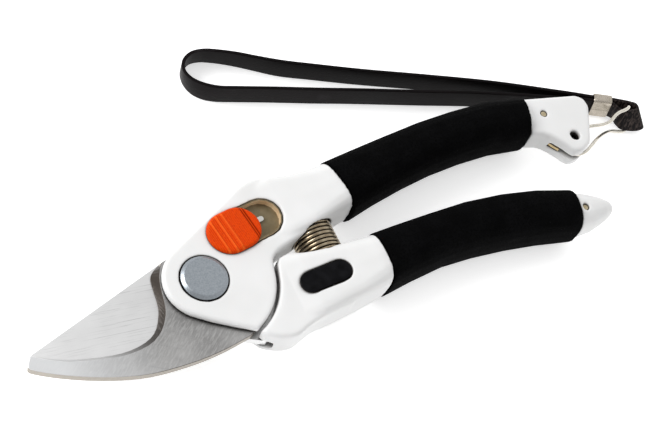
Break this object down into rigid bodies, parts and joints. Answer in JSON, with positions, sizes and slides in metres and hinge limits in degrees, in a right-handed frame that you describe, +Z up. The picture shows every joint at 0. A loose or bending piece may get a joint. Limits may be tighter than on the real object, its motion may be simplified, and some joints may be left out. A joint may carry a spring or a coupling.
{
  "type": "bypass pruner",
  "caption": "Hand bypass pruner lying closed: hooked counter blade, curved cutting blade, white handles with foam grips, thumb lock, return spring and wrist strap.",
  "frame": {"origin": "centre of the pivot bolt's rear end face, on the surface that the closed pruner lies on", "axes": "+X from the blade tips to the handle ends, +Z up out of the surface along the pivot axis, +Y towards the upper handle and the strap"},
  "size_m": [0.2231, 0.1006, 0.019],
  "materials": {
    "blade_steel": "satin ground steel",
    "white_plastic": "satin moulded plastic",
    "foam": "matte closed-cell foam",
    "chromate_steel": "yellow-brown chromate plating",
    "zinc_steel": "bright zinc plating",
    "bush_bronze": "sintered bronze",
    "orange_plastic": "fine-grained moulded plastic",
    "spring_steel": "drawn spring wire",
    "badge_black": "polished black, blank",
    "wire_steel": "bright drawn wire",
    "leatherette": "dark brown-black imitation leather",
    "nickel": "nickel plate"
  },
  "bodies": {
    "upper_half": {"counter_blade": "blade_steel", "upper_handle": "white_plastic", "upper_grip": "foam", "upper_core_strip": "chromate_steel", "upper_core_pin": "chromate_steel", "pivot_bolt": "zinc_steel", "pivot_nut": "zinc_steel", "pivot_spring_washer": "zinc_steel", "pivot_bush": "bush_bronze", "pivot_front_washer": "zinc_steel", "lock_tray": "chromate_steel", "upper_spring_seat": "zinc_steel", "return_spring": "spring_steel", "bail_tube": "zinc_steel"},
    "lower_half": {"cutting_blade": "blade_steel", "lower_handle": "white_plastic", "lower_grip": "foam", "lower_core_strip": "chromate_steel", "lower_core_pin": "chromate_steel", "lower_spring_seat": "zinc_steel", "name_badge": "badge_black"},
    "lock_slide": {"lock_button": "orange_plastic", "lock_slider_plate": "zinc_steel", "lock_pin": "zinc_steel"},
    "strap_bail": {"strap_wire": "wire_steel", "strap": "leatherette", "strap_crimp": "nickel"}
  },
  "joints": [
    {"name": "pivot", "type": "hinge", "parent": "upper_half", "child": "lower_half", "pos_m": [0, 0, 0.0085], "axis": [0, 0, -1], "range_deg": [0, 30], "deforming": ["return_spring"]},
    {"name": "lock_slide", "type": "slide", "parent": "upper_half", "child": "lock_slide", "axis": [0.989, 0.1478, 0], "range_m": [0, 0.0043]},
    {"name": "strap_swing", "type": "hinge", "parent": "upper_half", "child": "strap_bail", "pos_m": [0.1339, 0.007, 0.0095], "axis": [0, 0, -1], "range_deg": [0, 40]}
  ]
}
